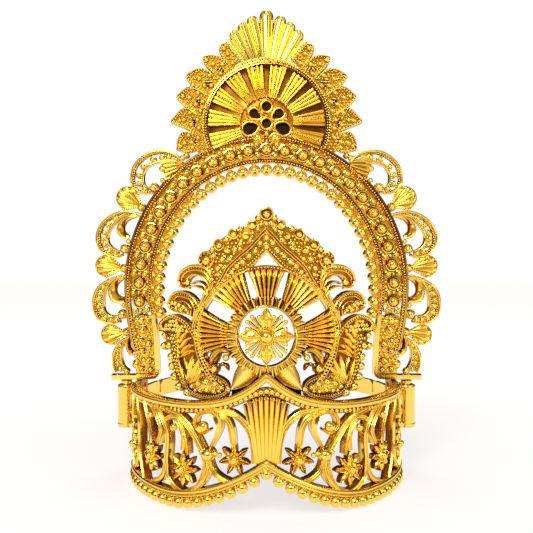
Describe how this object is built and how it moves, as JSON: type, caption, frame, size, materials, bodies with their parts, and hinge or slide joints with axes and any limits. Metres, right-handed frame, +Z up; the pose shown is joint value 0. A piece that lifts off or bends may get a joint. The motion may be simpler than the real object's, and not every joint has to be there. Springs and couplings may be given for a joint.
{
  "type": "deity crown",
  "caption": "Small gilded openwork crown for an altar figure: beaded front band, pointed peacock crest and a tall scrolled halo arch with a sun disc.",
  "frame": {"origin": "centre of the crown's footprint, on the plane its lowest pearls rest on", "axes": "+Z up, +X towards the wearer's left, -Y towards the crown's front"},
  "size_m": [0.087, 0.0576, 0.1133],
  "materials": {
    "cast_gold": "gold-plated cast brass, polished",
    "polished_gold": "gold-plated brass, smooth and bright"
  },
  "bodies": {
    "root": {"halo_arch": "cast_gold", "crest": "cast_gold", "front_band": "cast_gold", "socket_left": "polished_gold", "socket_right": "polished_gold", "pin_left": "polished_gold", "pin_right": "polished_gold"}
  },
  "joints": []
}
